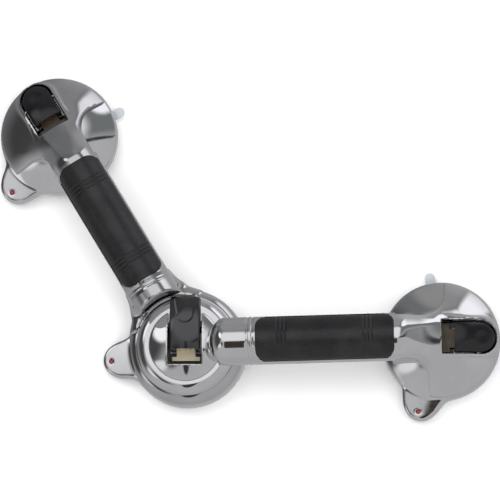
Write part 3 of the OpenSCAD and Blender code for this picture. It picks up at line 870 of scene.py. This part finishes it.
# the chrome doesn't mirror the floor: the lower half of the sky stands in for it
FLOOR_HALF = 3
FLOOR_Z = -0.0004
floor_mesh = bpy.data.meshes.new("floor")
floor_mesh.from_pydata([(x * FLOOR_HALF, y * FLOOR_HALF, FLOOR_Z)
                        for x, y in ((-1, -1), (1, -1), (1, 1), (-1, 1))], [], [(0, 1, 2, 3)])
floor = bpy.data.objects.new("floor", floor_mesh)
bpy.context.scene.collection.objects.link(floor)
floor.data.materials.append(surface("floor", (0.93, 0.93, 0.93), (0.95, 0.95, 0.95), 3,
                                    (0.8, 0.9), specular=0.0))
floor.visible_glossy = False

# ---------------------------------------------------------------- sky

# soft panels of a studio: centre, radii, turn in degrees, softness and brightness of each
# ellipse, all in the plan of the sky, where the zenith is (0, 0) and the horizon the unit circle
PANELS = [
    ((0.0, 3.05), (3.0, 3.0), 0, 0.04, (0.19, 0.20, 0.20)),
    ((-1.0, 0.15), (0.45, 0.6), 0, 0.35, (0.07, 0.07, 0.07)),
    ((-0.05, 0.95), (0.45, 0.25), 0, 0.3, (0.33, 0.33, 0.33)),
    ((0.62, 0.74), (0.24, 0.15), -38, 0.25, (1.15, 1.15, 1.2)),
    ((0.0, 0.27), (0.5, 0.36), 0, 0.25, (0.92, 0.92, 0.94)),
    ((-0.60, 0.36), (0.16, 0.20), 0, 0.3, (1.2, 1.2, 1.2)),
    ((-0.04, -0.35), (0.075, 0.27), 0, 0.1, (0.05, 0.04, 0.035)),
    ((-0.38, -0.30), (0.15, 0.15), 0, 0.5, (0.07, 0.07, 0.07)),
    ((0.55, 0.02), (0.45, 0.035), 18, 0.3, (0.04, 0.04, 0.04)),
    ((-0.66, -0.38), (0.17, 0.12), 0, 0.4, (0.9, 0.9, 0.9)),
]
LOW_PANELS = [((-0.9, 0.6), (0.9, 0.8), 0, 0.4, (0.24, 0.24, 0.25))]
SKY_COLOUR = (0.50, 0.50, 0.505)
LOW_COLOUR = (0.46, 0.46, 0.47)


def paint(tree, direction, colour, panels):
    """Lays the panels one after another over a plain colour."""
    links = tree.links
    plain = add(tree, "ShaderNodeRGB").outputs[0]
    plain.default_value = (*colour, 1)
    painted = plain
    for middle, radii, turn, soft, light in panels:
        offset = add(tree, "ShaderNodeVectorMath", {1: (*middle, 0)}, operation="SUBTRACT")
        links.new(direction, offset.inputs[0])
        spin = add(tree, "ShaderNodeVectorRotate", {"Angle": -math.radians(turn)},
                   rotation_type="Z_AXIS")
        links.new(offset.outputs[0], spin.inputs["Vector"])
        scaled = add(tree, "ShaderNodeVectorMath", {1: (1 / radii[0], 1 / radii[1], 0)},
                     operation="MULTIPLY")
        links.new(spin.outputs[0], scaled.inputs[0])
        away = add(tree, "ShaderNodeVectorMath", operation="LENGTH")
        links.new(scaled.outputs[0], away.inputs[0])
        cover = remap(tree, away.outputs["Value"], {"From Min": 1 + soft, "From Max": 1 - soft},
                      interpolation_type="SMOOTHSTEP")
        painted = mixed(tree, cover, painted, light)
    return painted


def sky(tree):
    """The upper half fades softly into the lower one."""
    coords = add(tree, "ShaderNodeTexCoord")
    direction = coords.outputs["Generated"]
    upper = paint(tree, direction, SKY_COLOUR, PANELS)
    lower = paint(tree, direction, LOW_COLOUR, LOW_PANELS)
    parts = add(tree, "ShaderNodeSeparateXYZ")
    tree.links.new(direction, parts.inputs[0])
    fade = remap(tree, parts.outputs["Z"], {"From Min": 0.22, "From Max": -0.30},
                 interpolation_type="SMOOTHSTEP")
    tree.links.new(mixed(tree, fade, upper, lower), tree.nodes["Background"].inputs["Color"])


world = bpy.data.worlds.new("world")
bpy.context.scene.world = world
world.use_nodes = True
sky(world.node_tree)

# ---------------------------------------------------------------- lamps

AIM = (0.05, 0.08, 0.03)


def area(name, at, size, power):
    """A soft lamp that looks at AIM and isn't seen in the chrome."""
    data = bpy.data.lights.new(name, "AREA")
    data.shape = "RECTANGLE"
    data.size, data.size_y = size
    data.energy = power
    lamp = bpy.data.objects.new(name, data)
    lamp.location = at
    lamp.visible_glossy = False
    lamp.rotation_euler = (Vector(AIM) - Vector(at)).to_track_quat("-Z", "Y").to_euler()
    bpy.context.scene.collection.objects.link(lamp)


area("key", (-0.5, 0.7, 1.5), (1.6, 1.2), 16)
area("fill", (0.9, 0.1, 1.5), (1.2, 1.6), 12)
area("low", (0.0, -0.9, 1.5), (1.8, 0.9), 10)

# ---------------------------------------------------------------- camera

# the view is nearly square on to the wall: TILT from its normal towards the azimuth SWING,
# through a long lens and with a slight roll
TILT, SWING, ROLL = math.radians(9.0), math.radians(-64.0), math.radians(0.29)
PIXELS = 500
MM_PER_PIXEL = 0.8758
SENSOR = 36
DISTANCE = 4.0
VIEW_MIDDLE = (54.7, 85.95)  # from the hub's axis, across and up the picture, in mm
VIEW_Z = 17.0

toward = np.array([math.sin(TILT) * math.cos(SWING), math.sin(TILT) * math.sin(SWING),
                   math.cos(TILT)])
level_up = np.array([0, 1.0, 0]) - toward[1] * toward
level_up /= np.linalg.norm(level_up)
level_across = np.cross(level_up, toward)
across = math.cos(ROLL) * level_across + math.sin(ROLL) * level_up
up = math.cos(ROLL) * level_up - math.sin(ROLL) * level_across
target = np.array([0, 0, VIEW_Z]) + across * VIEW_MIDDLE[0] + up * VIEW_MIDDLE[1]
position = target * 0.001 + toward * DISTANCE

camera_data = bpy.data.cameras.new("camera")
camera_data.sensor_width = SENSOR
camera_data.lens = SENSOR * DISTANCE / (PIXELS * MM_PER_PIXEL * 0.001)
camera_data.clip_end = 50
camera = bpy.data.objects.new("camera", camera_data)
rows = Matrix((across.tolist(), up.tolist(), toward.tolist())).transposed()
camera.matrix_world = Matrix.Translation(Vector(position.tolist())) @ rows.to_4x4()
bpy.context.scene.collection.objects.link(camera)
bpy.context.scene.camera = camera
bpy.context.scene.view_settings.view_transform = "Standard"
